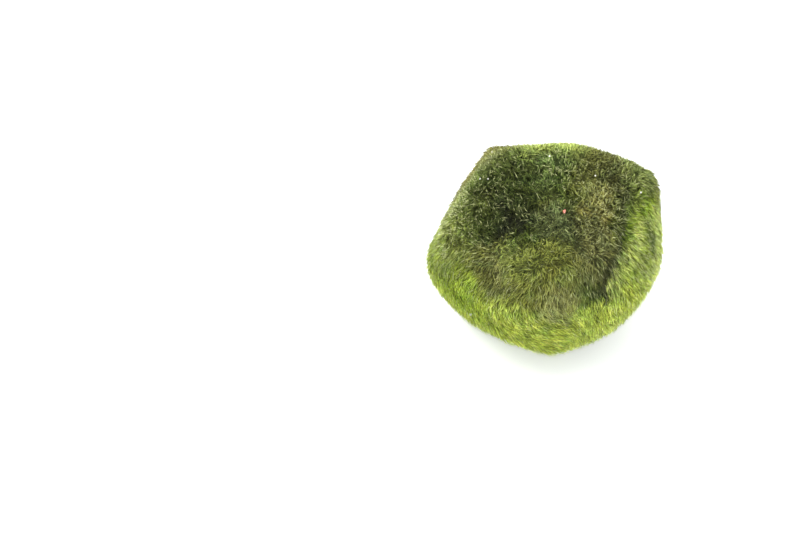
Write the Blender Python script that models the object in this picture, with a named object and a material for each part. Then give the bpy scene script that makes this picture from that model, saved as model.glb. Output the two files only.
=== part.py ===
"""A marimo moss ball: one ball of green algal filaments, grown as a single piece.

The solid follows the tips of the filaments. It is a ball whose sides have been pressed into
broad, soft flats, with shallow hollows and swells, one crease, and a small flat spot to rest on.
Metres, +Z up, -Y is the front. The origin is the bottom centre of the ball's box.
"""

import math

import bmesh
import bpy
import numpy as np

MM = 0.001
BALL_NAME = "moss_ball"

# Each flat is (azimuth, elevation, distance from the ball's middle in mm). Azimuth 0 is the
# front, 90 the right and 180 the back. Elevation 90 is straight up.
FLATS = {
    "crown": (-22, 65, 22.6),
    "right_shoulder": (48, 45, 23.0),
    "left_shoulder": (-50, 24, 23.4),
    "front": (8, -3, 22.9),
    "right_lobe": (55, 18, 24.4),
    "right_side": (91, 2, 24.9),
    "upper_right_back": (138, 37, 24.6),
    "upper_back": (180, 50, 22.0),
    "upper_left": (-112, 30, 22.1),
    "left_side": (-98, 14, 24.3),
    "lower_left": (-58, -24, 22.7),
    "under_left": (-28, -46, 22.1),
    "under_right": (28, -48, 21.3),
    "lower_right": (60, -27, 22.7),
    "back": (175, -10, 22.8),
    "back_left": (-122, -26, 23.6),
    "back_right": (128, -27, 23.4),
    "underside": (-110, -86, 21.2),
}
FLAT_SHARPNESS = 14.0  # the higher it is, the tighter the round between two flats

# Each hollow is (azimuth, elevation, radius in degrees, depth in mm).
HOLLOWS = {
    "crown": (-30, 57, 15, 0.7),
    "right_shoulder": (40, 58, 13, 0.45),
    "upper_right": (114, 58, 9, 0.6),
    "right": (99, 19, 9, 0.5),
    "lower_right": (51, -16, 9, 1.1),
    "lower_left": (-37, -38, 10, 1.0),
    "far_lower_left": (-84, -40, 7, 0.4),
    "left": (-102, 5, 8, 1.0),
    "back_left": (-143, 17, 7, 0.6),
    "back_top": (-176, 66, 9, 0.6),
    "back": (160, 12, 17, 0.7),
}

# Each swell is (azimuth, elevation, radius in degrees, height in mm).
SWELLS = {
    "front_belly": (-1, -31, 9, 0.8),
    "right_belly": (80, -7, 8, 0.4),
    "upper_right": (103, 37, 6, 0.5),
    "left_back": (-124, 12, 8, 0.4),
    "left_corner": (-151, 27, 6, 0.6),
}

# The crease runs along the arc between these two directions, and fades past its ends.
CREASE_TOP = (75, 43)
CREASE_BOTTOM = (25, 8)
CREASE_DEPTH = 0.8  # mm
CREASE_HALF_WIDTH = 4.5  # degrees

LUMP_WAVES = 14
LUMP_HEIGHT = 0.12  # mm for each wave
LUMP_SEED = 5

REST_HEIGHT = 20.8  # mm from the ball's middle down to the flat spot
SPHERE_SUBDIVISIONS = 5
SNAP = 0.15  # mm, so that the cut leaves no slivers

MOSS_GREEN = (0.13, 0.21, 0.045, 1.0)
MOSS_ROUGHNESS = 0.75


def direction(azimuth, elevation):
    """The unit vector that points to this azimuth and elevation, both in degrees."""
    a, e = math.radians(azimuth), math.radians(elevation)
    return np.array([math.sin(a) * math.cos(e), -math.cos(a) * math.cos(e), math.sin(e)])


def pressed_radius(ways):
    """Radius in mm along each unit vector, from the flats alone.

    A flat at distance h with normal n meets the way d at h / (d . n). The smallest of these
    would give sharp edges, so they are joined as a power mean, which rounds every edge.
    """
    normals = np.array([direction(a, e) for a, e, _ in FLATS.values()])
    distances = np.array([h for _, _, h in FLATS.values()])
    nearness = np.clip(ways @ normals.T, 0, None) / distances
    return (nearness**FLAT_SHARPNESS).sum(axis=1) ** (-1 / FLAT_SHARPNESS)


def bells(ways, places):
    """How much these hollows or swells move the surface, in mm: one bell curve for each."""
    total = np.zeros(len(ways))
    for azimuth, elevation, radius, most in places.values():
        angle = np.degrees(np.arccos(np.clip(ways @ direction(azimuth, elevation), -1, 1)))
        total += most * np.exp(-((angle / radius) ** 2))
    return total


def crease_depth(ways):
    """How far the crease sinks the surface, in mm: a bell curve across its arc."""
    top, bottom = direction(*CREASE_TOP), direction(*CREASE_BOTTOM)
    across = np.cross(top, bottom)
    across /= np.linalg.norm(across)
    middle = (top + bottom) / np.linalg.norm(top + bottom)
    half_length = math.degrees(math.acos(top @ middle))
    off_line = np.degrees(np.arcsin(np.clip(ways @ across, -1, 1)))
    off_middle = np.degrees(np.arccos(np.clip(ways @ middle, -1, 1)))
    along = np.exp(-((off_middle / half_length) ** 4))
    return CREASE_DEPTH * along * np.exp(-((off_line / CREASE_HALF_WIDTH) ** 2))


def lump_height(ways):
    """Small uneven swells in mm: waves that cross the ball in fixed, scattered directions."""
    scatter = np.random.default_rng(LUMP_SEED)
    height = np.zeros(len(ways))
    for _ in range(LUMP_WAVES):
        heading = scatter.normal(size=3)
        frequency = scatter.uniform(4, 11)
        phase = scatter.uniform(0, 2 * math.pi)
        heading /= np.linalg.norm(heading)
        height += LUMP_HEIGHT * np.sin(frequency * (ways @ heading) + phase)
    return height


def ball_radius(ways):
    """The ball's radius along each unit vector, in metres."""
    raised = bells(ways, SWELLS) + lump_height(ways)
    sunk = bells(ways, HOLLOWS) + crease_depth(ways)
    return MM * (pressed_radius(ways) + raised - sunk)


def cut_flat_spot(mesh):
    """Cuts the mesh level at the rest height, and closes it with one fan of flat faces."""
    shape = bmesh.new()
    shape.from_mesh(mesh)
    everything = shape.verts[:] + shape.edges[:] + shape.faces[:]
    bmesh.ops.bisect_plane(
        shape,
        geom=everything,
        dist=SNAP * MM,
        plane_co=(0, 0, -REST_HEIGHT * MM),
        plane_no=(0, 0, -1),
        clear_outer=True,
    )
    rim = [edge for edge in shape.edges if edge.is_boundary]
    for vertex in shape.verts:
        if vertex.is_boundary or vertex.co.z < -REST_HEIGHT * MM:
            vertex.co.z = -REST_HEIGHT * MM
    filled = bmesh.ops.edgeloop_fill(shape, edges=rim)
    bmesh.ops.poke(shape, faces=filled["faces"])
    bmesh.ops.recalc_face_normals(shape, faces=shape.faces[:])
    shape.to_mesh(mesh)
    shape.free()


def moss_material():
    """Deep yellow-green, matt."""
    material = bpy.data.materials.new("moss")
    material.use_nodes = True
    surface = material.node_tree.nodes["Principled BSDF"]
    surface.inputs["Base Color"].default_value = MOSS_GREEN
    surface.inputs["Roughness"].default_value = MOSS_ROUGHNESS
    material.diffuse_color = MOSS_GREEN
    return material


def build_ball(collection):
    """The ball: a sphere whose points move in or out to the ball's radius, cut level below."""
    bpy.ops.mesh.primitive_ico_sphere_add(subdivisions=SPHERE_SUBDIVISIONS, radius=1.0)
    ball = bpy.context.object
    ball.name = BALL_NAME
    ball.data.name = BALL_NAME
    places = np.empty(len(ball.data.vertices) * 3)
    ball.data.vertices.foreach_get("co", places)
    ways = places.reshape(-1, 3)
    ways = ways / np.linalg.norm(ways, axis=1)[:, None]
    places = ways * ball_radius(ways)[:, None]
    ball.data.vertices.foreach_set("co", places.ravel())
    ball.data.update()
    cut_flat_spot(ball.data)
    ball.data.shade_smooth()
    ball.data.set_sharp_from_angle(angle=math.radians(50))
    ball.data.materials.append(moss_material())

    middle = (places.min(axis=0) + places.max(axis=0)) / 2
    ball.location = (-middle[0], -middle[1], REST_HEIGHT * MM)
    for home in list(ball.users_collection):
        home.objects.unlink(ball)
    collection.objects.link(ball)
    return ball


def main():
    for old in list(bpy.data.objects):
        bpy.data.objects.remove(old)
    collection = bpy.data.collections.new("marimo_moss_ball")
    bpy.context.scene.collection.children.link(collection)
    build_ball(collection)


main()
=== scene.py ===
# %% [markdown]
# # A marimo moss ball
#
# A marimo is a ball of living green threads. It has no stem, no root and no core: the threads of
# this freshwater alga grow outwards from the middle, and rolling on the lake bed keeps them short.
# Taken out of the water, the ball sags into soft flats, and its threads cling in small tufts.
#
# This lesson builds the ball in the layers that you see: a dark felt where the threads are packed
# tight, a pile of fine filaments rooted in that felt, stray filaments that break its outline, and a
# few grains of grit caught in it. Every layer follows one solid model, so we load that first. The
# solid reaches the filaments' tips, and its box is kept.

# %% Load the solid ball
import math

import bpy
import numpy as np
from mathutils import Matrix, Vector


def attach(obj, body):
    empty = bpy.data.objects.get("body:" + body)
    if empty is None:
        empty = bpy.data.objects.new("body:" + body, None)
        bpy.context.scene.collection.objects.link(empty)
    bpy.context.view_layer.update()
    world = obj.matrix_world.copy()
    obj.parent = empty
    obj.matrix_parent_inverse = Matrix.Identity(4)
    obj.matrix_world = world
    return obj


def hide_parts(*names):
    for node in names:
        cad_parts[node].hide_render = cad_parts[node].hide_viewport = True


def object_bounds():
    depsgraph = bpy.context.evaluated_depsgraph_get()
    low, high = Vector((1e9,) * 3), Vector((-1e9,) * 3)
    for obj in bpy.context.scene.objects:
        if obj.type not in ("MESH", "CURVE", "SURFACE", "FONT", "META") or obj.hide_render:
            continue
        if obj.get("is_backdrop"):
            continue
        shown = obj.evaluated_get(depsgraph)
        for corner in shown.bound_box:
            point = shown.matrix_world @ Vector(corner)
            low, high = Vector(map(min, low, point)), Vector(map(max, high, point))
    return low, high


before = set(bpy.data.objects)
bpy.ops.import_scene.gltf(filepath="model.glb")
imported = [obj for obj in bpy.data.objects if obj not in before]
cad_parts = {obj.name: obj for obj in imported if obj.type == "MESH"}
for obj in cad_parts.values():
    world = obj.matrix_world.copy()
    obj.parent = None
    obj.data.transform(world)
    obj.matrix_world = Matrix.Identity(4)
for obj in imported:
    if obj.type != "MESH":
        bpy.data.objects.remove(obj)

MM = 0.001
cad_low, cad_high = (np.array(corner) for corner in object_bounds())
print("solid ball, mm:", (cad_high - cad_low).round(4) / MM)

# %% [markdown]
# ## Reading the solid
#
# The solid arrives as loose triangles, each with corners of its own. To grow threads out of it we
# need to know, anywhere on the ball, where the surface is and which way it faces. So equal corners
# are made one, and each gets the mean direction of the faces round it. The solid itself is left
# as it is.

# %% Corners, triangles and smooth normals
def merged(node):
    """The node's corners (N x 3) and triangles (M x 3), with corners at one place made one."""
    mesh = node.data
    mesh.calc_loop_triangles()
    places = np.empty(len(mesh.vertices) * 3)
    mesh.vertices.foreach_get("co", places)
    faces = np.empty(len(mesh.loop_triangles) * 3, int)
    mesh.loop_triangles.foreach_get("vertices", faces)
    places = places.reshape(-1, 3)
    _, first, same = np.unique(places.round(7), axis=0, return_index=True, return_inverse=True)
    return places[first], same.reshape(-1)[faces].reshape(-1, 3)


def unit(vectors):
    """The same vectors, one unit long."""
    return vectors / np.linalg.norm(vectors, axis=-1, keepdims=True)


def corner_normals(places, faces):
    """The mean direction of the faces round each corner, with bigger faces counting for more."""
    a, b, c = (places[faces[:, k]] for k in range(3))
    crosses = np.cross(b - a, c - a)
    total = np.zeros_like(places)
    np.add.at(total, faces.ravel(), np.repeat(crosses, 3, axis=0))
    return unit(total)


corners, triangles = merged(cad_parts["moss_ball"])
normals = corner_normals(corners, triangles)
middle = (corners.min(axis=0) + corners.max(axis=0)) / 2
print(len(corners), "corners and", len(triangles), "triangles round", middle.round(4))

# %% [markdown]
# ## Directions and drifting values
#
# Places on a ball are easiest to name by the way they face: an azimuth of 0 is the front, 90 the
# right, 180 the back, and an elevation of 90 is straight up. Nature is never even, so we also need
# a value that drifts smoothly from place to place. Blender has noise textures for that, but here it
# has to bend thousands of threads at once, so a sum of sine waves worked out by numpy is handier.

# %% Helpers for ways and drift
WAVE_SPREAD = 0.4  # how much shorter or longer than `size` a wave may be, as a share


def way(azimuth, elevation):
    """The unit vector that faces this azimuth and elevation, both in degrees."""
    a, e = math.radians(azimuth), math.radians(elevation)
    return np.array([math.sin(a) * math.cos(e), -math.cos(a) * math.cos(e), math.sin(e)])


def drift(places, size, seed, waves=24):
    """A smooth random value for each place, mostly from -1 to 1, that changes over about `size`.

    Seeded sine waves cross in random directions, and their sum is divided by its usual height.
    """
    scatter = np.random.default_rng(seed)
    headings = unit(scatter.normal(size=(waves, 3)))
    steps = 2 * math.pi / size * scatter.uniform(1 - WAVE_SPREAD, 1 + WAVE_SPREAD, size=(waves, 1))
    phases = scatter.uniform(0, 2 * math.pi, size=waves)
    return np.sin(places @ (headings * steps).T + phases).sum(axis=1) / math.sqrt(waves)


def smooth_step(value, low, high):
    """0 below low, 1 above high, and an S-shaped rise between them."""
    t = np.clip((value - low) / (high - low), 0, 1)
    return t * t * (3 - 2 * t)


# %% [markdown]
# ## How the threads lie
#
# On the upper side of a drained ball the threads stand up every way, so you look down on their
# tips. Below a soft belt they hang, combed down by the water that ran off, and under the belly they
# sweep sideways. One function says it all: for any place it gives the heading a thread leans in,
# the angle it leans at, and how freely single threads stray from both. The belt sits higher on the
# right of the ball than on the left, which is a sine of the azimuth.

# %% The belt and the depth of the pile
BELT = 29  # degrees of elevation at the front
BELT_RISE = 11  # degrees more at the right, and less at the left
BELT_WANDER = 5  # degrees that it drifts up and down
BELT_HALF_WIDTH = 9  # degrees
UPPER_DEPTH = 1.5 * MM  # of the pile, from the felt to the tips
HANGING_DEPTH = 1.15 * MM


def hanging(places):
    """0 where the threads stand, 1 where they hang."""
    ways = unit(places - middle)
    azimuth = np.arctan2(ways[:, 0], -ways[:, 1])
    elevation = np.degrees(np.arcsin(ways[:, 2]))
    belt = BELT + BELT_RISE * np.sin(azimuth) + BELT_WANDER * drift(places, 11 * MM, 21)
    return 1 - smooth_step(elevation, belt - BELT_HALF_WIDTH, belt + BELT_HALF_WIDTH)


def pile_depth(places):
    """How deep the pile is: deep where the threads stand, shallow where they lie down."""
    return UPPER_DEPTH + (HANGING_DEPTH - UPPER_DEPTH) * hanging(places)


print("hanging share:", hanging(corners).mean().round(2))

# %% The lay of the pile
UNDER_RANGE = (-12, 11)  # degrees of elevation: wholly under the belly, and not at all
STANDING_LEAN = 38  # degrees from the normal, where threads stand
HANGING_LEAN = 24  # degrees more, where they hang
UNDER_LEAN = 9  # degrees more again, under the belly
LEAN_DRIFT = 6  # degrees
UNDER_SWEEP = 98  # degrees from downhill towards the right, under the belly
RIGHT_SHARE = 0.2  # what is left of that sweep at the ball's right
LEFT_RANGE = (-0.45, 0.05)  # how far left a way points, where the sweep is least and whole
SWEEP_DRIFT = 20  # degrees, where threads hang
WHORL_DRIFT = 200  # degrees, where they stand
LOCK_DRIFT = 17  # degrees, from one tuft to the next


def lay(places, facing):
    """For each place: the heading threads lean in, their lean from the normal, and its freedom.

    The heading turns from downhill (0 degrees) towards the ball's right (90 degrees). High up it
    drifts all the way round, in whorls, and freedom is 1. Where threads hang it is 0.
    """
    ways = unit(places - middle)
    east = unit(np.cross((0, 0, 1), ways))
    east = unit(east - (east * facing).sum(axis=1, keepdims=True) * facing)
    down = np.cross(east, facing)
    hang = hanging(places)
    elevation = np.degrees(np.arcsin(ways[:, 2]))
    under = 1 - smooth_step(elevation, *UNDER_RANGE)
    share = RIGHT_SHARE + (1 - RIGHT_SHARE) * smooth_step(-ways[:, 0], *LEFT_RANGE)
    sweep = UNDER_SWEEP * under * share + SWEEP_DRIFT * drift(places, 11 * MM, 31)
    whorl = WHORL_DRIFT * drift(places, 7 * MM, 41)
    locks = LOCK_DRIFT * drift(places, 1.5 * MM, 43)
    turn = np.radians(hang * sweep + (1 - hang) * whorl + locks)[:, None]
    heading = np.cos(turn) * down + np.sin(turn) * east
    lean = STANDING_LEAN + HANGING_LEAN * hang + UNDER_LEAN * under
    lean = lean + LEAN_DRIFT * drift(places, 3 * MM, 51)
    return heading, np.radians(lean), 1 - hang


leans = np.degrees(lay(corners, normals)[1])
print("lean from the normal, degrees:", leans.min().round(1), "to", leans.max().round(1))

# %% [markdown]
# ## The felt
#
# Between the filaments you see the felt of packed threads that they grow from, coloured darker as
# painted shade deep in the pile. It could be the solid with a displacement modifier, but its shape
# also has to leave room for a pile that is deeper on top. So it is worked out directly. A cube's six
# sides are blown up to a ball, which spreads the grid more evenly than lines of latitude, and each
# grid point is moved to where its way meets the solid, less the depth of the pile, plus a lumpy
# relief. The six grids share their edges, so they close into one skin.

# %% Meet the solid
def meet_solid(ways, batch=2500):
    """Where each way from the middle meets the solid, and the smooth normal there.

    Inside a triangle a way is a sum of its three corners with no minus signs. Those three shares
    blend the corners' places, and in the same way their normals.
    """
    a, b, c = (corners[triangles[:, k]] - middle for k in range(3))
    volume = (a * np.cross(b, c)).sum(axis=1)
    sides = np.stack([np.cross(b, c), np.cross(c, a), np.cross(a, b)]) / volume[:, None]
    places, facing = np.empty_like(ways), np.empty_like(ways)
    for start in range(0, len(ways), batch):
        some = ways[start : start + batch]
        shares = np.einsum("nk,stk->snt", some, sides, optimize=True)
        hit = shares.min(axis=0).argmax(axis=1)
        share = shares[:, np.arange(len(some)), hit].T
        share = share / share.sum(axis=1, keepdims=True)
        places[start : start + batch] = (share[:, :, None] * corners[triangles[hit]]).sum(axis=1)
        facing[start : start + batch] = (share[:, :, None] * normals[triangles[hit]]).sum(axis=1)
    return places, unit(facing)


# %% A mesh from whole arrays
def new_object(name, places, loops, sizes):
    """A smooth-shaded mesh object from corners, the corner numbers of every face, and face sizes."""
    mesh = bpy.data.meshes.new(name)
    mesh.vertices.add(len(places))
    mesh.vertices.foreach_set("co", places.ravel())
    mesh.loops.add(len(loops))
    mesh.loops.foreach_set("vertex_index", loops)
    mesh.polygons.add(len(sizes))
    mesh.polygons.foreach_set("loop_start", np.cumsum(sizes) - sizes)
    mesh.update(calc_edges=True)
    mesh.shade_smooth()
    made = bpy.data.objects.new(name, mesh)
    bpy.context.scene.collection.objects.link(made)
    return made


# %% A ball from six grids
def cube_side(across, up, steps):
    """Unit vectors on a (steps + 1) squared grid: across x up is the side's outward way.

    Both parameters are angles from -45 to 45 degrees, and their tangents lie on the cube's side.
    """
    spread = np.tan(np.radians(np.linspace(-45, 45, steps + 1)))
    u, v = np.meshgrid(spread, spread, indexing="ij")
    side = np.cross(across, up) + u[..., None] * np.array(across) + v[..., None] * np.array(up)
    return unit(side.reshape(-1, 3))


def grid_squares(steps):
    """The four corner numbers of each square in a (steps + 1) squared grid."""
    i, j = np.meshgrid(np.arange(steps), np.arange(steps), indexing="ij")
    low = (i * (steps + 1) + j).ravel()
    return np.stack([low, low + steps + 1, low + steps + 2, low + 1], axis=1)


def ball_grid(steps):
    """The unit vectors of a closed ball of six grids, and the corner numbers of its squares."""
    x, y, z = np.eye(3)
    sides = [(x, y), (y, x), (y, z), (z, y), (z, x), (x, z)]
    grids = np.concatenate([cube_side(a, b, steps) for a, b in sides])
    squares = grid_squares(steps)
    squares = np.concatenate([squares + k * (steps + 1) ** 2 for k in range(len(sides))])
    _, first, same = np.unique(grids.round(6), axis=0, return_index=True, return_inverse=True)
    return grids[first], same.reshape(-1)[squares]


# %% The felt's skin
FELT_STEPS = 44  # squares along each side of the blown-up cube
FELT_RELIEF = 0.14 * MM
LUMPS = [(0.6, 2.2 * MM, 61), (0.4, 1.3 * MM, 62)]  # share, size and seed of each drift in it
FLOOR_GAP = 0.12 * MM  # how far the pressed underside stays above the surface it rests on


def make_felt():
    """The closed skin of felt: the solid's surface, less the pile's depth, plus a lumpy relief."""
    ways, squares = ball_grid(FELT_STEPS)
    surface, facing = meet_solid(ways)
    lumps = sum(share * drift(surface, size, seed) for share, size, seed in LUMPS)
    depth = pile_depth(surface) - FELT_RELIEF * lumps
    places = surface - depth[:, None] * facing
    places[:, 2] = np.maximum(places[:, 2], cad_low[2] + FLOOR_GAP)
    return new_object("felt", places, squares.ravel(), np.full(len(squares), 4))


felt = make_felt()
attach(felt, "root")
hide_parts("moss_ball")
print("felt:", 2 * len(felt.data.polygons), "triangles")

# %% [markdown]
# ## The filaments
#
# Real threads are about a tenth of a millimetre thick. A hair system would be the quick way, but
# hair curves don't survive an export, so each filament is a real closed mesh. It is a needle: a
# three-sided ring between a root point and a tip point, bowed at the ring. That is only six
# triangles, so the ball can carry well over a hundred thousand of them.
#
# Wet threads cling together in fine locks, so they are grown two at a time. The locks are spread
# evenly by walking through the solid's triangles in steps of equal area. Each one follows the lay
# of the pile, and strays from it by an amount of its own.

# %% Places on the solid
def spread_on_solid(count, scatter):
    """Places spread evenly over the solid, and the normals there.

    The triangles' areas are laid end to end, and cut in equal steps with a random start in each.
    Inside its triangle a place takes random shares of the three corners.
    """
    a, b, c = (corners[triangles[:, k]] for k in range(3))
    ends = np.cumsum(np.linalg.norm(np.cross(b - a, c - a), axis=1))
    steps = (np.arange(count) + scatter.random(count)) / count * ends[-1]
    hit = triangles[np.searchsorted(ends, steps)]
    s, t = np.sqrt(scatter.random(count)), scatter.random(count)
    share = np.stack([1 - s, s * (1 - t), s * t], axis=1)[:, :, None]
    return (share * corners[hit]).sum(axis=1), unit((share * normals[hit]).sum(axis=1))


# %% Needles along bowed paths
NEEDLE_CORNERS = 5  # root, ring of three, tip
RING_TURNS = np.radians([0, 120, 240])
RING_TWIST = 7  # radians, at the most, that a needle's ring is turned by at random
STEEP = 0.8  # how much of a needle's line points up or down where up is no longer a good guide
BEND_AT = 0.5  # the ring's place between root and tip
CELL_MARGIN = 0.08  # on each side of a map cell, as a share of it


def needle_map(count):
    """Map corners for `count` needles: a cell each, in a square of cells.

    Each of the six faces takes a third of its cell's width. The height is the way from root to tip.
    """
    side = np.array([[0.5, 1, 0], [1.5, 2, 1], [2.5, 3, 2]]) / 3
    u = np.concatenate([side, side[:, [2, 1, 0]]])
    u[3:, 2] = side[:, 0]
    low, high = [0, BEND_AT, BEND_AT], [BEND_AT, BEND_AT, 1]
    v = np.array([low] * 3 + [high] * 3)
    cells = math.ceil(math.sqrt(count))
    cell = np.stack([np.arange(count) % cells, np.arange(count) // cells], axis=1)
    spot = CELL_MARGIN + (1 - 2 * CELL_MARGIN) * np.stack([u, v], axis=-1).reshape(1, -1, 2)
    return (cell[:, None] + spot) / cells


def needles(name, roots, bends, tips, widths, own):
    """Many closed needles as one mesh: root point, a ring of three at the bend, tip point.

    The ring stands across the line from root to tip, and is `widths` from side to side. The
    attribute "along" runs from 0 at the root to 1 at the tip, and "own" is three random values for
    each needle.
    """
    count = len(roots)
    line = unit(tips - roots)
    helper = np.where(np.abs(line[:, 2:]) < STEEP, (0, 0, 1), (1, 0, 0))
    across = unit(np.cross(line, helper))
    other = np.cross(line, across)
    turns = RING_TURNS[None, :, None] + own[:, 0, None, None] * RING_TWIST
    ring = np.cos(turns) * across[:, None] + np.sin(turns) * other[:, None]
    ring = bends[:, None] + ring * (widths[:, None, None] / 2)
    places = np.concatenate([roots[:, None], ring, tips[:, None]], axis=1)

    one = np.array([[0, 2, 1], [0, 3, 2], [0, 1, 3], [1, 2, 4], [2, 3, 4], [3, 1, 4]])
    loops = (np.arange(count)[:, None, None] * NEEDLE_CORNERS + one).ravel()
    made = new_object(name, places.reshape(-1, 3), loops, np.full(count * len(one), 3))
    along = np.tile([0, BEND_AT, BEND_AT, BEND_AT, 1], count)
    made.data.attributes.new("along", "FLOAT", "POINT").data.foreach_set("value", along)
    own = np.repeat(own, NEEDLE_CORNERS, axis=0).ravel()
    made.data.attributes.new("own", "FLOAT_VECTOR", "POINT").data.foreach_set("vector", own)
    uv = needle_map(count).ravel()
    made.data.uv_layers.new(name="OFBake").data.foreach_set("uv", uv)
    return made


# %% Where tips carry painted glints
# Where more threads than elsewhere have painted glints, pale tips that stand in for light caught by
# wet threads: (azimuth, elevation, radius in degrees).
GLINT_PATCHES = {
    "left": (-86, 24, 24),
    "right_shoulder": (48, 45, 17),
    "lobe": (62, 12, 18),
    "crown": (30, 76, 7),
}
GLINT_GAIN = 5.0  # how many more painted glints in a glint patch's middle, for each one elsewhere


def glint_density(places):
    """0 where few threads have painted glints on their tips, and 1 in the middle of a glint patch.
    """
    ways = unit(places - middle)
    near = np.zeros(len(ways))
    for azimuth, elevation, radius in GLINT_PATCHES.values():
        angle = np.degrees(np.arccos(np.clip(ways @ way(azimuth, elevation), -1, 1)))
        near = np.maximum(near, np.exp(-((angle / radius) ** 2)))
    return near


# %% Grow locks of filaments
LOCK_SIZE = 2  # filaments in a lock
LOCK_SPREAD = 0.11 * MM  # how far a lock's filaments are rooted from its middle, at the most
TIP_SPREAD = 0.45  # how much of that is left at their tips
ROOT_DEPTH = 0.15 * MM  # how far a filament is rooted in the felt
BOW = 0.13  # how far a lock's middle usually strays sideways, as a share of its length
EARLY_RISE = 0.2  # at 0 a lock rises and leans evenly, and at 1 it rises fully before it leans
TURN_SPREAD = (0.24, 0.95)  # radians of turn where locks hang, and how many more where they stand
LEAN_SPREAD = (0.16, 0.16)  # the same for the lean
LEAN_LIMITS = (0.1, 1.25)  # radians
LONGEST_LEAN = 1.1  # radians: past it, leaning more makes a lock no longer
LENGTHS = (0.74, 1.1)  # of locks, as a share of what reaches the solid's surface
TIP_LENGTHS = (0.8, 1.04)  # of a lock's filaments, as a share of the lock's
WIDTHS = (0.65, 1.3)  # of filaments, as a share of their usual width
HANGING_STRETCH = 0.3  # how much longer filaments are where they hang, as a share
HANGING_FINENESS = 0.05  # how much finer they are there, as a share
STANDING_LIKENESS = 0.5  # how alike a lock's filaments are where they stand, from 0 to 1
HANGING_LIKENESS = 0.1  # and where they hang


def grow(count, width, scatter, stretch=1.0, upright=1.0):
    """Roots, bends, tips and widths of `count` locks of filaments, and their random values.

    A lock leans by the lay of the pile, turned and tipped by normal random amounts that grow with
    its freedom. It starts steeper than it ends, and bows to one side. Its filaments start apart and
    close in on its tip, and differ a little in length. `stretch` makes a lock longer and `upright`
    makes it lean less.
    """
    surface, facing = spread_on_solid(count, scatter)
    heading, lean, freedom = lay(surface, facing)
    turn = scatter.normal(size=count) * (TURN_SPREAD[0] + TURN_SPREAD[1] * freedom)
    turn = turn[:, None]
    heading = np.cos(turn) * heading + np.sin(turn) * np.cross(facing, heading)
    stray = scatter.normal(size=count) * (LEAN_SPREAD[0] + LEAN_SPREAD[1] * freedom)
    lean = np.clip(lean * upright + stray, *LEAN_LIMITS)[:, None]
    depth = pile_depth(surface)[:, None]
    hang = 1 - freedom[:, None]
    stretch = stretch * (1 + HANGING_STRETCH * hang) * scatter.uniform(*LENGTHS, (count, 1))
    length = stretch * depth / np.cos(np.minimum(lean, LONGEST_LEAN))
    reach = length * (np.cos(lean) * facing + np.sin(lean) * heading)
    floor = surface - depth * facing
    side = np.cross(facing, heading)
    rise = (reach * facing).sum(axis=1, keepdims=True) * facing
    bow = BOW * length * scatter.normal(size=(count, 1)) * side

    shape = (count, LOCK_SIZE, 1)
    angle = scatter.uniform(0, 2 * math.pi, size=shape)
    out = LOCK_SPREAD * np.sqrt(scatter.random(shape))
    offset = out * (np.cos(angle) * heading[:, None] + np.sin(angle) * side[:, None])
    roots = (floor - ROOT_DEPTH * facing)[:, None] + offset
    tips = scatter.uniform(*TIP_LENGTHS, size=shape) * reach[:, None]
    tips = floor[:, None] + tips + TIP_SPREAD * offset
    early = EARLY_RISE * (rise - BEND_AT * reach)
    bends = roots + BEND_AT * (tips - roots) + (early + bow)[:, None]
    own = random_values(hang, scatter)
    flecks = 1 + GLINT_GAIN * glint_density(surface)[:, None]
    # the third value picks the threads whose tips get a painted glint, more of them in the glint
    # patches
    own[:, :, 2] = 1 - (1 - scatter.random((count, LOCK_SIZE))) / flecks
    widths = width * (1 - HANGING_FINENESS * hang) * scatter.uniform(*WIDTHS, (count, LOCK_SIZE))
    roots, bends, tips = (press(places.reshape(-1, 3)) for places in (roots, bends, tips))
    return roots, bends, tips, widths.ravel(), own.reshape(-1, 3)


def random_values(hang, scatter):
    """Three values from 0 to 1 for each filament: its lock's values, blended with its own."""
    alike = (STANDING_LIKENESS + (HANGING_LIKENESS - STANDING_LIKENESS) * hang)[:, :, None]
    lock = scatter.random((len(hang), 1, 3))
    return alike * lock + (1 - alike) * scatter.random((len(hang), LOCK_SIZE, 3))


def press(places):
    """Lifts whatever is too low to just above the surface that the ball rests on."""
    places[:, 2] = np.maximum(places[:, 2], cad_low[2] + FLOOR_GAP)
    return places


# %% The pile
PILE_PIECES = 5
LOCKS = 61000
FILAMENT_WIDTH = 0.15 * MM


def make_pile():
    """The pieces of the pile, each a fifth of the locks, spread all round the ball."""
    made = []
    for k in range(PILE_PIECES):
        scatter = np.random.default_rng(100 + k)
        grown = grow(LOCKS // PILE_PIECES, FILAMENT_WIDTH, scatter)
        made.append(needles(f"pile_{k + 1}", *grown))
    return made


pile = make_pile()
for piece in pile:
    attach(piece, "root")
    print(piece.name, len(piece.data.polygons), "triangles")

# %% [markdown]
# ## Stray threads
#
# A marimo's outline is never clean: single fine threads stand out beyond the others and catch the
# light. They could be a few longer needles in the pile, but as pieces of their own they can be
# thinner too, and paler with painted light: less painted shade at the root and more painted glints,
# for light that comes through them at the outline.

# %% The strays
STRAY_PIECES = 2
STRAY_LOCKS = 19000
STRAY_WIDTH = 0.095 * MM
STRAY_STRETCH = 1.33  # how much longer than the pile's locks they are
STRAY_UPRIGHT = 0.75  # how much of the pile's lean they have


def make_strays():
    """Thin needles that reach past the pile, in pieces that each go all round the ball."""
    made = []
    for k in range(STRAY_PIECES):
        scatter = np.random.default_rng(200 + k)
        count = STRAY_LOCKS // STRAY_PIECES
        grown = grow(count, STRAY_WIDTH, scatter, STRAY_STRETCH, STRAY_UPRIGHT)
        made.append(needles(f"strays_{k + 1}", *grown))
    return made


strays = make_strays()
for piece in strays:
    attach(piece, "root")
    print(piece.name, len(piece.data.polygons), "triangles")

# %% [markdown]
# ## Grains of grit
#
# Grit from the lake bed stays caught in the tips: one pinkish grain on the upper side, and a few
# pale ones. Each is the same kind of ball as the felt, with few faces, squeezed along three axes and
# dented by drifting noise. It sits a little way into the tips.

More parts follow.
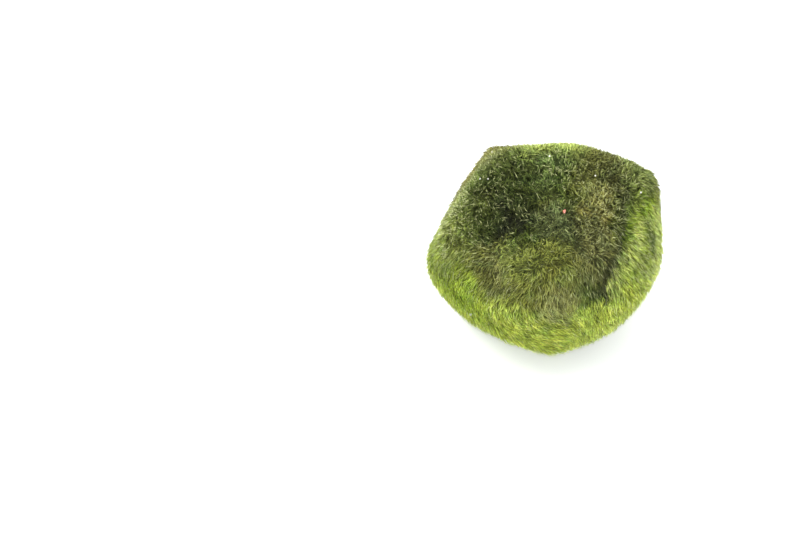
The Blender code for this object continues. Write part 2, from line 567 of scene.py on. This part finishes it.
# %% Grains
GRAIN_STEPS = 4
SQUEEZE = (1.0, 0.82, 0.68)
DENTS = 0.22  # their depth, as a share of the radius
DENT_SIZE = 1.7  # in radii
PROUD = 0.2  # how far a grain's middle stands out of the solid, in radii
RED_GRAIN = [(10, 54, 0.86)]  # azimuth, elevation, size in mm
PALE_GRAINS = [
    (-45, -17, 0.62),
    (-83, 50, 0.42),
    (-78, 54, 0.36),
    (-29, 88, 0.40),
    (65, 64, 0.38),
    (83, 37, 0.40),
    (-84, 8, 0.44),
    (151, 28, 0.50),
    (-140, 36, 0.42),
    (196, 4, 0.46),
]


def make_grains(name, grains, seed):
    """A piece of several grains: a dented, squeezed ball for each (azimuth, elevation, size)."""
    scatter = np.random.default_rng(seed)
    ways, squares = ball_grid(GRAIN_STEPS)
    spots, facing = meet_solid(np.array([way(a, e) for a, e, _ in grains]))
    places = []
    for k, (_, _, size) in enumerate(grains):
        turned = np.linalg.qr(scatter.normal(size=(3, 3)))[0]
        dented = ways * (1 + DENTS * drift(ways, DENT_SIZE, seed + k))[:, None] * SQUEEZE
        places.append(spots[k] + size * MM / 2 * (dented @ turned + PROUD * facing[k]))
    faces = np.concatenate([squares + k * len(ways) for k in range(len(grains))])
    return new_object(name, np.concatenate(places), faces.ravel(), np.full(len(faces), 4))


red_grain = make_grains("red_grain", RED_GRAIN, 300)
pale_grains = make_grains("pale_grains", PALE_GRAINS, 310)
for piece in (red_grain, pale_grains):
    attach(piece, "root")
    print(piece.name, 2 * len(piece.data.polygons), "triangles")

# %% [markdown]
# ## The moss colours
#
# No two sides of a marimo have the same green. Some patches are nearly black, old growth turns
# brown, and fresh growth under the belly is lime. The lime at the ball's edges is partly that growth
# and partly painted rim light, for light that comes through the threads there. A nearly black line
# down the crease, and the darker side beyond it, are painted shade, and a pale line along its crest
# is a painted highlight. Painting an image would tie the colours to one mesh. Instead each patch is
# a soft disc on the ball: a way that it faces, a radius, and a colour. A noise texture bends the
# ways a little first, so no edge is a clean circle, and threads on an edge fall to one side or the
# other.
# Felt and filaments share these patches, so a filament always matches the felt that it grows from.

# %% The patches
COLOURS = {
    "near_black": (0.026, 0.031, 0.013),
    "deep_green": (0.048, 0.064, 0.015),
    "slate": (0.108, 0.130, 0.050),
    "dark_olive": (0.095, 0.102, 0.033),
    "shade_green": (0.076, 0.105, 0.020),
    "teal": (0.106, 0.148, 0.042),
    "olive": (0.140, 0.150, 0.040),
    "brown": (0.194, 0.173, 0.049),
    "khaki": (0.185, 0.200, 0.044),
    "speckled": (0.180, 0.215, 0.052),
    "grey_brown": (0.215, 0.220, 0.078),
    "grey_green": (0.225, 0.270, 0.080),
    "tan": (0.280, 0.280, 0.086),
    "leaf_green": (0.205, 0.285, 0.024),
    "fresh_green": (0.235, 0.298, 0.050),
    "lime": (0.342, 0.418, 0.068),
    "pale_lime": (0.370, 0.450, 0.110),
}
BASE_COLOUR = "olive"

# Each patch is (azimuth, elevation, radius and soft edge in degrees, strength, colour).
PATCHES = {
    "belly": (0, -90, 90, 10, 1.0, "lime"),
    "left_side": (-80, 18, 22, 10, 0.9, "speckled"),
    "upper_left": (-92, 43, 14, 9, 0.9, "shade_green"),
    "left_facet": (-80, 31, 6, 6, 0.7, "shade_green"),
    "left_corner": (-82, 0, 9, 8, 0.8, "fresh_green"),
    "low_left": (-50, -7, 12, 9, 0.6, "leaf_green"),
    "low_right": (40, 0, 11, 8, 0.9, "lime"),
    # partly lime growth, partly painted rim light where light comes through the threads at the top
    # edge
    "crown_edge_growth_and_rim_light": (168, 70, 18, 8, 0.7, "pale_lime"),
    "crown": (-34, 78, 12, 10, 0.8, "teal"),
    "crown_right": (19, 77, 9, 9, 0.8, "teal"),
    "top_left_edge": (-108, 69, 9, 7, 0.8, "speckled"),
    "upper_corner": (-116, 54, 7, 7, 0.7, "dark_olive"),
    "upper_dark": (-66, 62, 14, 9, 0.9, "deep_green"),
    "hollow": (-34, 46, 13, 8, 1.0, "near_black"),
    "hollow_top": (-33, 60, 7, 7, 0.7, "deep_green"),
    "west_of_hollow": (-54, 36, 8, 7, 0.9, "deep_green"),
    "left_green": (-62, 29, 5, 6, 0.4, "shade_green"),
    "middle_green": (-9, 36, 9, 8, 1.0, "shade_green"),
    "ridge": (3, 48, 9, 7, 0.9, "slate"),
    "right_ridge": (33, 67, 9, 7, 0.8, "shade_green"),
    "right_dark": (88, 58, 9, 7, 0.9, "dark_olive"),
    "right_edge": (98, 67, 6, 6, 0.7, "olive"),
    # partly the moss's own green, partly painted rim light at the right edge
    "right_rim_green_and_rim_light": (95, 41, 8, 7, 0.8, "grey_green"),
    "flecks": (55, 64, 8, 6, 0.8, "olive"),
    "brown": (45, 47, 9, 7, 0.9, "brown"),
    "tan": (52, 56, 6, 5, 0.6, "tan"),
    "brown_low": (25, 40, 8, 7, 0.9, "dark_olive"),
    "belt": (-5, 21, 14, 8, 0.9, "khaki"),
    "belt_right": (25, 28, 8, 7, 0.8, "grey_brown"),
    # painted shade: the side beyond the crease is coloured darker, for the shade that falls there
    "crease_side_painted_shade": (53, 34, 6, 5, 0.8, "shade_green"),
    "belt_low_right": (26, 15, 7, 6, 0.9, "dark_olive"),
    "belt_shade": (19, 5, 5, 5, 0.9, "shade_green"),
    "belt_teal": (-23, 27, 6, 6, 0.8, "speckled"),
    "belt_brown_left": (-32, 17, 6, 5, 0.9, "grey_brown"),
    "belt_left": (-34, 10, 5, 5, 0.8, "olive"),
    "belt_brown_right": (3, 3, 8, 6, 0.9, "grey_brown"),
    "lobe": (72, 26, 13, 7, 0.8, "leaf_green"),
    "lobe_top": (73, 39, 5, 5, 0.6, "grey_green"),
    # partly lime growth, partly painted rim light where light comes through the threads at the right
    # edge
    "lobe_rim_growth_and_rim_light": (82, 14, 8, 6, 1.0, "pale_lime"),
    "lobe_low": (57, 9, 9, 7, 0.8, "fresh_green"),
    "lobe_shade": (71, 16, 4, 5, 1.0, "shade_green"),
    "back_dark": (172, 30, 16, 16, 0.9, "deep_green"),
    "back_brown": (-142, 8, 14, 14, 0.8, "brown"),
    "back_green": (128, 12, 20, 16, 0.8, "leaf_green"),
}
# Each line is (start, end, radius, edge, strength, colour): a row of small discs on an arc.
LINES = {
    # painted shade: a nearly black line down the crease, where the threads fall into shade
    "crease_painted_shade": ((75, 43), (25, 8), 1.0, 4, 0.9, "near_black"),
    # painted highlight: a pale line along the crest beside the crease, where the threads catch the
    # light
    "crest_painted_highlight": ((68, 27), (32, 8), 1.8, 3, 1.0, "pale_lime"),
}
LINE_DISCS = 9


def all_spots():
    """Every disc as (unit vector, radius, edge, strength, colour), in the order of painting."""
    spots = [(way(a, e), *rest) for a, e, *rest in PATCHES.values()]
    for start, end, *rest in LINES.values():
        shares = np.linspace(0, 1, LINE_DISCS)[:, None]
        row = unit((1 - shares) * way(*start) + shares * way(*end))
        spots += [(spot, *rest) for spot in row]
    return spots


print(len(all_spots()), "patches in", len(COLOURS), "colours")

# %% Node helpers
NOISE_DETAIL = 3.0


def add(tree, kind, inputs=None, **settings):
    """A new node of this kind, with its settings set, and values or links put into its inputs."""
    node = tree.nodes.new(kind)
    for name, value in settings.items():
        setattr(node, name, value)
    for key, value in (inputs or {}).items():
        if isinstance(value, bpy.types.NodeSocket):
            tree.links.new(value, node.inputs[key])
        else:
            node.inputs[key].default_value = value
    return node


def mix_colour(tree, share, first, second, blend="MIX"):
    """A colour mix by share, which like both colours is a value or a link, held from 0 to 1."""
    node = add(tree, "ShaderNodeMix", data_type="RGBA", blend_type=blend, clamp_result=True)
    sockets = (node.inputs[0], node.inputs[6], node.inputs[7])
    for socket, value in zip(sockets, (share, first, second)):
        if isinstance(value, bpy.types.NodeSocket):
            tree.links.new(value, socket)
        else:
            socket.default_value = value if isinstance(value, float) else (*value[:3], 1.0)
    return node.outputs[2]


def noise(tree, place, scale):
    """A noise value at this place, from 0 to 1. The scale is in cells for each metre."""
    inputs = {"Vector": place, "Scale": scale, "Detail": NOISE_DETAIL}
    return add(tree, "ShaderNodeTexNoise", inputs).outputs["Fac"]


def ranged(tree, value, low, high, to_low=0.0, to_high=1.0, kind="SMOOTHSTEP"):
    """The value carried from low..high to another range, and held at its ends."""
    inputs = {"Value": value, 1: low, 2: high, 3: to_low, 4: to_high}
    return add(tree, "ShaderNodeMapRange", inputs, interpolation_type=kind).outputs["Result"]


def number_math(tree, operation, first, second):
    """A Math node's output."""
    return add(tree, "ShaderNodeMath", {0: first, 1: second}, operation=operation).outputs[0]


def vector_math(tree, operation, *inputs):
    """A Vector Math node. Its output is a number for a dot product, or a vector."""
    node = add(tree, "ShaderNodeVectorMath", dict(enumerate(inputs)), operation=operation)
    return node.outputs["Value" if operation == "DOT_PRODUCT" else "Vector"]


def lit(tree, colour, *lights):
    """The colour times every one of these numbers."""
    light = lights[0]
    for more in lights[1:]:
        light = number_math(tree, "MULTIPLY", light, more)
    grey = add(tree, "ShaderNodeCombineXYZ", {0: light, 1: light, 2: light}).outputs[0]
    return mix_colour(tree, 1.0, colour, grey, "MULTIPLY")


# %% Paint the patches
WARM = (1.08, 0.98, 0.88)
COOL = (0.92, 1.01, 1.12)
WARP = 0.15  # how far the noise bends a way, at the most, where 1 is 57 degrees
WARP_SCALE = 230.0
WARP_DETAIL = 4.0
DITHER = 0.11  # how far apart two neighbours may look up their patch, along each axis
TINGE_SCALE = 330.0
BLOTCH_SCALE = 520.0
BLOTCH = 0.32  # how much darker or lighter a blotch is, as a share


def tinged(tree, colour, share):
    """The colour warmed towards brown where share is 0, and cooled towards teal where it is 1."""
    tinge = mix_colour(tree, share, WARM, COOL)
    return mix_colour(tree, 1.0, colour, tinge, "MULTIPLY")


def patch_colours(tree, own=None):
    """The object place, and the colour of the moss there: every patch laid over the one before.

    `own` is a thread's three random values, which move the place where it looks up its colour.
    """
    place = add(tree, "ShaderNodeTexCoord").outputs["Object"]
    inputs = {"Vector": place, "Scale": WARP_SCALE, "Detail": WARP_DETAIL}
    bend = add(tree, "ShaderNodeTexNoise", inputs).outputs["Color"]
    bend = vector_math(tree, "SUBTRACT", bend, (0.5, 0.5, 0.5))
    bend = vector_math(tree, "MULTIPLY", bend, (2 * WARP,) * 3)
    out = vector_math(tree, "SUBTRACT", place, tuple(middle))
    out = vector_math(tree, "NORMALIZE", out)
    out = vector_math(tree, "ADD", out, bend)
    if own:
        stray = vector_math(tree, "SUBTRACT", own, (0.5, 0.5, 0.5))
        out = vector_math(tree, "ADD", out, vector_math(tree, "MULTIPLY", stray, (DITHER,) * 3))
    out = vector_math(tree, "NORMALIZE", out)
    colour = COLOURS[BASE_COLOUR]
    for spot, radius, edge, strength, patch in all_spots():
        near = vector_math(tree, "DOT_PRODUCT", out, tuple(spot))
        outer = math.cos(math.radians(radius + edge))
        inner = math.cos(math.radians(max(radius - edge / 3, 0)))
        share = ranged(tree, near, outer, inner, 0.0, strength)
        colour = mix_colour(tree, share, colour, COLOURS[patch])
    tinge = ranged(tree, noise(tree, place, TINGE_SCALE), 0.35, 0.65, kind="LINEAR")
    colour = tinged(tree, colour, tinge)
    blotch = noise(tree, place, BLOTCH_SCALE)
    blotch = ranged(tree, blotch, 0.3, 0.7, 1 - BLOTCH, 1 + BLOTCH, "LINEAR")
    return place, lit(tree, colour, blotch)


# %% [markdown]
# ## The finishes
#
# A thread is darker where it leaves the felt and lighter at its tip, a painted shade deep in the
# pile, and that step from dark to pale is what makes a pile look deep. Neighbouring threads differ a
# lot: most are dull, a few are bright, and some are yellower or bluer. A few have pale tips, painted
# glints that stand in for light caught by wet threads. So every thread carries three random values,
# for its lightness, its hue and its painted glint. The felt has the same patches, darkened as
# painted shade, with the grain of packed threads as bump.

# %% The filament finish
# painted highlight: the pale tip colour that stands in for glints of light on wet threads
PAINTED_GLINT = (0.81, 0.85, 0.40)
GLINT_STRENGTH = 0.85  # how far the brightest painted glints go towards it
THREAD_GAIN = 1.25  # lifts the patches' colours, because threads shade each other
PAINTED_TIP_LIGHT = 1.2  # painted light near the tip, where a patch's own colour is 1; the step down to the root is painted shade
THREAD_ROUGHNESS = 0.4
THREAD_SPECULAR = 0.08


def thread_material(name, dull, bright, root_painted_shade, glint_share):
    """Patches with painted shade from root to tip, and a lightness, a hue and a glint for each
    thread.

    A thread's lightness runs from `dull` to `bright`. It is squared first, so most are dull. At the
    root its light is `root_painted_shade`, a painted shade deep in the pile. Outside the glint
    patches, `glint_share` is the share of threads with a painted glint on the tip, a pale colour
    that stands in for light on a wet thread.
    """
    material = bpy.data.materials.new(name)
    material.use_nodes = True
    tree = material.node_tree
    surface = tree.nodes["Principled BSDF"]
    own = add(tree, "ShaderNodeAttribute", attribute_name="own").outputs["Vector"]
    along = add(tree, "ShaderNodeAttribute", attribute_name="along").outputs["Fac"]
    lightness, hue, glinting = add(tree, "ShaderNodeSeparateXYZ", {0: own}).outputs
    colour = tinged(tree, patch_colours(tree, own)[1], hue)
    few = number_math(tree, "POWER", ranged(tree, lightness, 0.1, 0.9), 2.0)
    few = ranged(tree, few, 0.0, 1.0, dull * THREAD_GAIN, bright * THREAD_GAIN, "LINEAR")
    # painted shade: each thread is coloured darker towards its root, for the shade deep in the pile
    shade = ranged(tree, along, 0.0, 0.9, root_painted_shade, PAINTED_TIP_LIGHT, "LINEAR")
    colour = lit(tree, colour, few, shade)

    # painted highlight: a few tips turn pale, standing in for glints of light on wet threads
    pale = ranged(tree, glinting, 1 - 1.2 * glint_share, 1 - 0.8 * glint_share)
    tip = ranged(tree, along, 0.5, 0.7, 0.0, GLINT_STRENGTH)
    pale = number_math(tree, "MULTIPLY", pale, tip)
    tree.links.new(mix_colour(tree, pale, colour, PAINTED_GLINT), surface.inputs["Base Color"])
    surface.inputs["Roughness"].default_value = THREAD_ROUGHNESS
    surface.inputs["Specular IOR Level"].default_value = THREAD_SPECULAR
    return material


filament_finish = thread_material("moss_filaments", 0.28, 2.3, 0.2, 0.03)
# painted light: strays get less painted shade at the root and more painted glints than the pile
stray_finish = thread_material("moss_strays", 0.5, 1.8, 0.5, 0.07)
for piece in pile:
    piece.data.materials.append(filament_finish)
for piece in strays:
    piece.data.materials.append(stray_finish)

# %% The felt finish
FELT_PAINTED_SHADE = 0.6  # painted shade: the felt lies deep in the pile, so its colour is darkened below its threads'
FELT_CONTRAST = 0.6
FELT_SCALE = 2600.0


def felt_material():
    """The patches again, darkened as painted shade, with a thready grain and bump."""
    material = bpy.data.materials.new("moss_felt")
    material.use_nodes = True
    tree = material.node_tree
    surface = tree.nodes["Principled BSDF"]
    place, colour = patch_colours(tree)
    grain = noise(tree, place, FELT_SCALE)
    darkest, lightest = ((1 + side * FELT_CONTRAST) * FELT_PAINTED_SHADE for side in (-1, 1))
    light = ranged(tree, grain, 0.3, 0.7, darkest, lightest, "LINEAR")
    tree.links.new(lit(tree, colour, light), surface.inputs["Base Color"])
    bump = add(tree, "ShaderNodeBump", {"Strength": 0.7, "Distance": 0.0003, "Height": grain})
    tree.links.new(bump.outputs["Normal"], surface.inputs["Normal"])
    surface.inputs["Roughness"].default_value = 0.8
    surface.inputs["Specular IOR Level"].default_value = 0.2
    return material


felt.data.materials.append(felt_material())

# %% The grain finish
SPECKLE_SCALE = 3200.0
PINK, RED = (0.80, 0.42, 0.32), (0.55, 0.13, 0.08)
PALE, BEIGE = (0.86, 0.86, 0.80), (0.62, 0.60, 0.50)


def grain_material(name, light_colour, dark_colour, roughness):
    """Mottled stone: two colours mixed by fine noise, with a faint bump."""
    material = bpy.data.materials.new(name)
    material.use_nodes = True
    tree = material.node_tree
    surface = tree.nodes["Principled BSDF"]
    place = add(tree, "ShaderNodeTexCoord").outputs["Object"]
    speckle = noise(tree, place, SPECKLE_SCALE)
    colour = mix_colour(tree, ranged(tree, speckle, 0.38, 0.62), dark_colour, light_colour)
    tree.links.new(colour, surface.inputs["Base Color"])
    bump = add(tree, "ShaderNodeBump", {"Strength": 0.4, "Distance": 0.0001, "Height": speckle})
    tree.links.new(bump.outputs["Normal"], surface.inputs["Normal"])
    surface.inputs["Roughness"].default_value = roughness
    return material


red_grain.data.materials.append(grain_material("red_grit", PINK, RED, 0.5))
pale_grains.data.materials.append(grain_material("pale_grit", PALE, BEIGE, 0.35))

# %% [markdown]
# ## Floor, light and camera
#
# The ball is shown on a lit white table, under soft, even light. The table glows faintly, so the
# ball's shadow stays pale and the belly gets light from below. A white world lights the ball from
# all round, and a panel above, behind and left gives wet threads their glints. The camera looks down
# on the ball at 40 degrees through a long lens.

# %% Floor
FLOOR_SIZE = 3.0
WHITE = (0.81, 0.82, 0.85, 1.0)
GLOW = (0.955, 0.975, 1.0, 1.0)
GLOW_STRENGTH = 0.42


def make_floor():
    """A plain glowing square, level with the ball's flat spot."""
    half = FLOOR_SIZE / 2
    places = np.array([[-half, -half, 0], [half, -half, 0], [half, half, 0], [-half, half, 0]])
    made = new_object("floor", places, np.arange(4), np.array([4]))
    material = bpy.data.materials.new("white_floor")
    material.use_nodes = True
    surface = material.node_tree.nodes["Principled BSDF"]
    surface.inputs["Base Color"].default_value = WHITE
    surface.inputs["Roughness"].default_value = 0.9
    surface.inputs["Specular IOR Level"].default_value = 0.1
    surface.inputs["Emission Color"].default_value = GLOW
    surface.inputs["Emission Strength"].default_value = GLOW_STRENGTH
    made.data.materials.append(material)
    return made


floor = make_floor()
floor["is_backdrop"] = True

# %% World and lights
WORLD_STRENGTH = 1.4
PANEL_PLACE = (-0.25, 0.10, 0.70)
PANEL_SIZE = 0.8
PANEL_POWER = 9.0

world = bpy.data.worlds.new("studio")
bpy.context.scene.world = world
world.use_nodes = True
background = world.node_tree.nodes["Background"]
background.inputs["Color"].default_value = (1.0, 1.0, 1.0, 1.0)
background.inputs["Strength"].default_value = WORLD_STRENGTH


def add_panel():
    """A square light panel that faces the ball's middle."""
    light = bpy.data.lights.new("top_panel", "AREA")
    light.size = PANEL_SIZE
    light.energy = PANEL_POWER
    made = bpy.data.objects.new("top_panel", light)
    bpy.context.scene.collection.objects.link(made)
    made.location = PANEL_PLACE
    away = Vector(PANEL_PLACE) - Vector(middle)
    made.rotation_euler = away.to_track_quat("Z", "Y").to_euler()


add_panel()
bpy.context.scene.view_settings.view_transform = "Standard"

# %% Camera
LENS = 85  # mm
SENSOR = 36  # mm
CAMERA_ELEVATION = 40  # degrees
CAMERA_DISTANCE = 407 * MM
AIM_HEIGHT = 20.8 * MM
BALL_RIGHT = 31.3 * MM  # how far right of the frame's middle the ball sits, and how far up
BALL_UP = 4.2 * MM


def make_camera():
    """A camera at the front that looks down at the ball, which sits right of the frame's middle."""
    camera = bpy.data.objects.new("camera", bpy.data.cameras.new("camera"))
    bpy.context.scene.collection.objects.link(camera)
    camera.data.lens = LENS
    camera.data.sensor_width = SENSOR
    camera.data.clip_start = 0.01
    e = math.radians(CAMERA_ELEVATION)
    forward = np.array([0, math.cos(e), -math.sin(e)])
    up = np.array([0, math.sin(e), math.cos(e)])
    target = np.array([-BALL_RIGHT, 0, AIM_HEIGHT]) - BALL_UP * up
    camera.location = target - CAMERA_DISTANCE * forward
    camera.rotation_euler = (math.pi / 2 - e, 0, 0)
    bpy.context.scene.camera = camera


make_camera()
